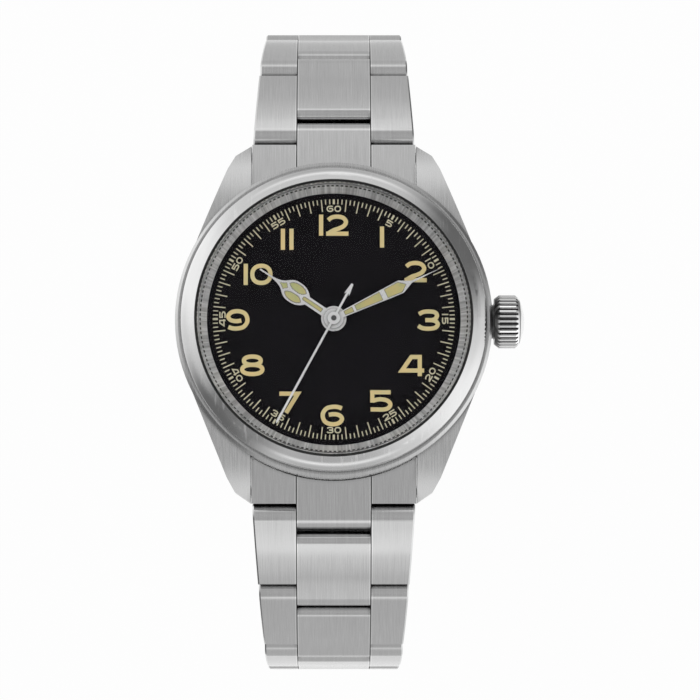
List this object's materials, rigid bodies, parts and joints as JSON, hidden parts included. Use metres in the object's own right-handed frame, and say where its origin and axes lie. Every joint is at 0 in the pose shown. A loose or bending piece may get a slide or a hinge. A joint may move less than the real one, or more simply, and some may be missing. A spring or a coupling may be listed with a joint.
{
  "type": "field watch",
  "caption": "Steel field watch with a black dial, cathedral hour hand, sword minute hand, polished bezel, fluted crown and a three-row link bracelet with a folding clasp.",
  "frame": {"origin": "centre of the case back's flat outer face", "axes": "+X to 3 o'clock, out along the crown; +Y to 12 o'clock; +Z out of the dial"},
  "size_m": [0.0419, 0.0799, 0.0618],
  "materials": {
    "brushed_steel": "brushed",
    "polished_steel": "polished",
    "crystal": "clear",
    "black_rubber": "matt",
    "dial_black": "matt",
    "hand_steel": "satin",
    "lume": "matt",
    "movement_brass": "satin",
    "movement_steel": "satin",
    "holder_plastic": "matt",
    "jewel": "polished"
  },
  "bodies": {
    "case": {"case_middle": "brushed_steel", "bezel": "polished_steel", "crystal": "crystal", "crystal_gasket": "black_rubber", "chapter_ring": "brushed_steel", "dial": "dial_black", "case_back": "brushed_steel", "case_back_gasket": "black_rubber", "crown_tube": "brushed_steel", "movement_holder": "holder_plastic", "main_plate": "movement_brass", "train_bridge": "movement_steel", "mainspring_barrel": "movement_brass", "train_wheel": "movement_brass", "balance_cock": "movement_steel", "balance_jewel": "jewel", "rotor_bearing": "movement_steel", "end_link_12": "brushed_steel", "end_link_6": "brushed_steel", "lug_spring_bars": "brushed_steel"},
    "stem_yoke": {"stem_yoke": "movement_steel"},
    "crown": {"crown": "polished_steel", "winding_stem": "movement_steel"},
    "hour_hand": {"hour_hand": "hand_steel", "hour_hand_lume": "lume", "hour_wheel": "movement_brass"},
    "minute_hand": {"minute_hand": "hand_steel", "minute_hand_lume": "lume", "cannon_pinion": "movement_brass"},
    "second_hand": {"second_hand": "hand_steel", "second_arbor": "movement_steel"},
    "rotor": {"rotor": "movement_steel"},
    "balance": {"balance_wheel": "movement_brass"},
    "link_12_1": {"link_12_1": "brushed_steel"},
    "link_12_2": {"link_12_2": "brushed_steel"},
    "link_12_3": {"link_12_3": "brushed_steel"},
    "link_12_4": {"link_12_4": "brushed_steel"},
    "link_12_5": {"link_12_5": "brushed_steel"},
    "link_12_6": {"link_12_6": "brushed_steel"},
    "clasp_cover": {"clasp_cover": "brushed_steel", "clasp_spring_bar": "brushed_steel", "clasp_cover_pin": "brushed_steel"},
    "clasp_middle_blade": {"clasp_middle_blade": "brushed_steel", "clasp_blade_pin": "brushed_steel"},
    "clasp_inner_blade": {"clasp_inner_blade": "brushed_steel", "clasp_end_bar": "brushed_steel"},
    "link_6_1": {"link_6_1": "brushed_steel"},
    "link_6_2": {"link_6_2": "brushed_steel"},
    "link_6_3": {"link_6_3": "brushed_steel"},
    "link_6_4": {"link_6_4": "brushed_steel"},
    "link_6_5": {"link_6_5": "brushed_steel"},
    "link_6_6": {"link_6_6": "brushed_steel"},
    "link_6_7": {"link_6_7": "brushed_steel"},
    "clasp_button_right": {"clasp_button_right": "brushed_steel"},
    "clasp_button_left": {"clasp_button_left": "brushed_steel"}
  },
  "joints": [
    {"name": "crown_pull", "type": "slide", "parent": "case", "child": "stem_yoke", "axis": [1, 0, 0], "range_m": [0, 0.0015]},
    {"name": "crown_turn", "type": "hinge", "parent": "stem_yoke", "child": "crown", "pos_m": [0.02, 0, 0.0041], "axis": [1, 0, 0], "continuous": true},
    {"name": "minute_hand_turn", "type": "hinge", "parent": "case", "child": "minute_hand", "pos_m": [0, 0, 0.0072], "axis": [0, 0, -1], "continuous": true},
    {"name": "hour_hand_turn", "type": "hinge", "parent": "case", "child": "hour_hand", "pos_m": [0, 0, 0.0069], "axis": [0, 0, -1], "continuous": true},
    {"name": "second_hand_turn", "type": "hinge", "parent": "case", "child": "second_hand", "pos_m": [0, 0, 0.0076], "axis": [0, 0, -1], "continuous": true},
    {"name": "rotor_spin", "type": "hinge", "parent": "case", "child": "rotor", "pos_m": [0, 0, 0.002], "axis": [0, 0, 1], "continuous": true},
    {"name": "balance_swing", "type": "hinge", "parent": "case", "child": "balance", "pos_m": [-0.0046, -0.0052, 0.0042], "axis": [0, 0, 1], "range_deg": [-135, 135]},
    {"name": "link_12_1_hinge", "type": "hinge", "parent": "case", "child": "link_12_1", "pos_m": [0, 0.0232, 0.0006], "axis": [1, 0, 0], "range_deg": [0, 2.79]},
    {"name": "link_12_2_hinge", "type": "hinge", "parent": "link_12_1", "child": "link_12_2", "pos_m": [0, 0.03216, -0.00468], "axis": [1, 0, 0], "range_deg": [0, 2.37]},
    {"name": "link_12_3_hinge", "type": "hinge", "parent": "link_12_2", "child": "link_12_3", "pos_m": [0, 0.03704, -0.01386], "axis": [1, 0, 0], "range_deg": [0, 2.02]},
    {"name": "link_12_4_hinge", "type": "hinge", "parent": "link_12_3", "child": "link_12_4", "pos_m": [0, 0.03542, -0.02413], "axis": [1, 0, 0], "range_deg": [0, 1.94]},
    {"name": "link_12_5_hinge", "type": "hinge", "parent": "link_12_4", "child": "link_12_5", "pos_m": [0, 0.0322, -0.03402], "axis": [1, 0, 0], "range_deg": [0, 2]},
    {"name": "link_12_6_hinge", "type": "hinge", "parent": "link_12_5", "child": "link_12_6", "pos_m": [0, 0.02654, -0.04275], "axis": [1, 0, 0], "range_deg": [0, 2.18]},
    {"name": "clasp_cover_hinge", "type": "hinge", "parent": "link_12_6", "child": "clasp_cover", "pos_m": [0, 0.01834, -0.04915], "axis": [1, 0, 0], "range_deg": [0, 2.44]},
    {"name": "clasp_unfold", "type": "hinge", "parent": "clasp_cover", "child": "clasp_middle_blade", "pos_m": [0, -0.01056, -0.0496], "axis": [1, 0, 0], "range_deg": [0, 110]},
    {"name": "clasp_inner_hinge", "type": "hinge", "parent": "clasp_middle_blade", "child": "clasp_inner_blade", "pos_m": [0, 0.01334, -0.049], "axis": [-1, 0, 0], "range_deg": [0, 110.48]},
    {"name": "link_6_1_hinge", "type": "hinge", "parent": "case", "child": "link_6_1", "pos_m": [0, -0.0232, 0.0006], "axis": [-1, 0, 0], "range_deg": [0, 6.38]},
    {"name": "link_6_2_hinge", "type": "hinge", "parent": "link_6_1", "child": "link_6_2", "pos_m": [0, -0.03221, -0.0046], "axis": [-1, 0, 0], "range_deg": [0, 6.84]},
    {"name": "link_6_3_hinge", "type": "hinge", "parent": "link_6_2", "child": "link_6_3", "pos_m": [0, -0.03825, -0.01307], "axis": [-1, 0, 0], "range_deg": [0, 7.32]},
    {"name": "link_6_4_hinge", "type": "hinge", "parent": "link_6_3", "child": "link_6_4", "pos_m": [0, -0.03969, -0.02337], "axis": [-1, 0, 0], "range_deg": [0, 7.68]},
    {"name": "link_6_5_hinge", "type": "hinge", "parent": "link_6_4", "child": "link_6_5", "pos_m": [0, -0.03879, -0.03373], "axis": [-1, 0, 0], "range_deg": [0, 7.97]},
    {"name": "link_6_6_hinge", "type": "hinge", "parent": "link_6_5", "child": "link_6_6", "pos_m": [0, -0.0339, -0.04291], "axis": [-1, 0, 0], "range_deg": [0, 8.12]},
    {"name": "link_6_7_hinge", "type": "hinge", "parent": "link_6_6", "child": "link_6_7", "pos_m": [0, -0.02534, -0.04881], "axis": [-1, 0, 0], "range_deg": [0, 8.12]},
    {"name": "clasp_button_right_press", "type": "slide", "parent": "clasp_cover", "child": "clasp_button_right", "axis": [-1, 0, 0], "range_m": [0, 0.0005], "stiffness_N_per_m": 400, "springref_m": -0.0005},
    {"name": "clasp_button_left_press", "type": "slide", "parent": "clasp_cover", "child": "clasp_button_left", "axis": [1, 0, 0], "range_m": [0, 0.0005], "stiffness_N_per_m": 400, "springref_m": -0.0005}
  ],
  "couplings": [
    {"joint": "hour_hand_turn", "follows": "minute_hand_turn", "ratio": 0.083333},
    {"joint": "link_12_1_hinge", "follows": "clasp_unfold", "ratio": 0.0252},
    {"joint": "link_12_2_hinge", "follows": "clasp_unfold", "ratio": 0.0214},
    {"joint": "link_12_3_hinge", "follows": "clasp_unfold", "ratio": 0.0182},
    {"joint": "link_12_4_hinge", "follows": "clasp_unfold", "ratio": 0.0175},
    {"joint": "link_12_5_hinge", "follows": "clasp_unfold", "ratio": 0.018},
    {"joint": "link_12_6_hinge", "follows": "clasp_unfold", "ratio": 0.0197},
    {"joint": "clasp_cover_hinge", "follows": "clasp_unfold", "ratio": 0.022},
    {"joint": "clasp_inner_hinge", "follows": "clasp_unfold", "ratio": 1.0042},
    {"joint": "link_6_1_hinge", "follows": "clasp_unfold", "ratio": 0.0579},
    {"joint": "link_6_2_hinge", "follows": "clasp_unfold", "ratio": 0.062},
    {"joint": "link_6_3_hinge", "follows": "clasp_unfold", "ratio": 0.0664},
    {"joint": "link_6_4_hinge", "follows": "clasp_unfold", "ratio": 0.0697},
    {"joint": "link_6_5_hinge", "follows": "clasp_unfold", "ratio": 0.0723},
    {"joint": "link_6_6_hinge", "follows": "clasp_unfold", "ratio": 0.0737},
    {"joint": "link_6_7_hinge", "follows": "clasp_unfold", "ratio": 0.0737}
  ]
}
